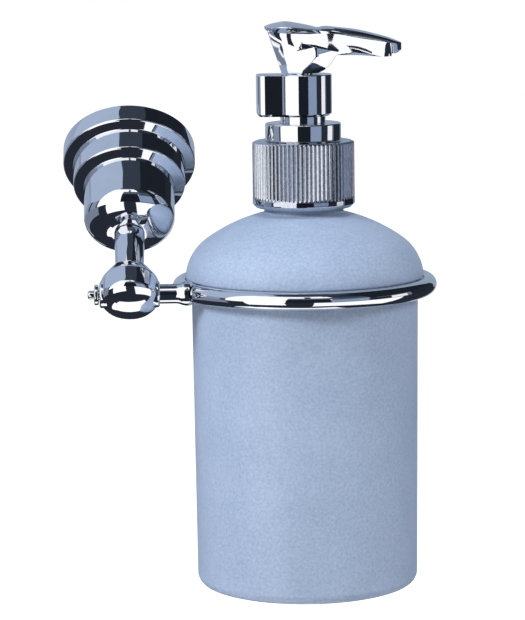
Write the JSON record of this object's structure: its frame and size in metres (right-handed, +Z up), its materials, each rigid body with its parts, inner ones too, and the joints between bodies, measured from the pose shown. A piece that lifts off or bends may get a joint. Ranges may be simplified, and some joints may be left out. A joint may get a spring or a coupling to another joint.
{
  "type": "wall-mounted soap dispenser",
  "caption": "Frosted glass lotion bottle with a locking pump head, hung by its shoulder in a chrome ring on a clamped arm, knuckle, post and stepped wall rosette.",
  "frame": {"origin": "centre of the wall plate's back face, which lies against the wall", "axes": "+Z up along the bottle, +X from the knuckle along the arm to the bottle, +Y away from the user; the wall's outward axis points towards -Y and 42.5 degrees below the horizon, as in the picture"},
  "size_m": [0.1213, 0.0863, 0.1837],
  "materials": {
    "polished_chrome": "polished",
    "frosted_glass": "acid-etched, frosted on the outside",
    "stainless_steel": "plain machined",
    "natural_polypropylene": "moulded, milky",
    "seal_rubber": "moulded, matt"
  },
  "bodies": {
    "wall_side": {"wall_plate": "stainless_steel", "rosette": "polished_chrome", "grub_screw": "stainless_steel", "post": "polished_chrome", "post_screw": "stainless_steel", "post_washer": "stainless_steel", "knuckle": "polished_chrome", "clamp_screw": "stainless_steel"},
    "arm": {"arm_rod": "polished_chrome", "end_cap": "polished_chrome", "bottle_ring": "polished_chrome"},
    "bottle_body": {"bottle": "frosted_glass"},
    "pump": {"neck_gasket": "seal_rubber", "pump_housing": "natural_polypropylene", "chaplet": "polished_chrome", "dip_tube": "natural_polypropylene", "return_spring": "stainless_steel"},
    "closure": {"collar": "polished_chrome", "collar_liner": "natural_polypropylene"},
    "piston_body": {"piston": "seal_rubber"},
    "head": {"stem": "natural_polypropylene", "lock_sleeve": "polished_chrome", "head_skirt": "polished_chrome", "head_spout": "polished_chrome"},
    "ball": {"inlet_ball": "stainless_steel"}
  },
  "joints": [
    {"name": "arm_tilt", "type": "hinge", "parent": "wall_side", "child": "arm", "pos_m": [0, -0.04571, -0.04189], "axis": [1, 0, 0], "range_deg": [-2.5, 87.5]},
    {"name": "bottle_lift", "type": "slide", "parent": "arm", "child": "bottle_body", "axis": [0, 0, 1], "range_m": [0, 0.105]},
    {"name": "pump_lift", "type": "slide", "parent": "bottle_body", "child": "pump", "axis": [0, 0, 1], "range_m": [0, 0.133]},
    {"name": "collar_turn", "type": "hinge", "parent": "pump", "child": "closure", "pos_m": [0.0566, -0.02871, -0.04189], "axis": [0, 0, 1], "range_deg": [0, 540]},
    {"name": "pump_stroke", "type": "slide", "parent": "pump", "child": "piston_body", "axis": [0, 0, 1], "range_m": [0, 0.0125], "stiffness_N_per_m": 600, "springref_m": 0.0225, "deforming": ["return_spring"]},
    {"name": "head_swivel", "type": "hinge", "parent": "piston_body", "child": "head", "pos_m": [0.0566, -0.02871, -0.04189], "axis": [0, 0, 1], "continuous": true},
    {"name": "ball_lift", "type": "slide", "parent": "pump", "child": "ball", "axis": [0, 0, 1], "range_m": [0, 0.0015]}
  ]
}
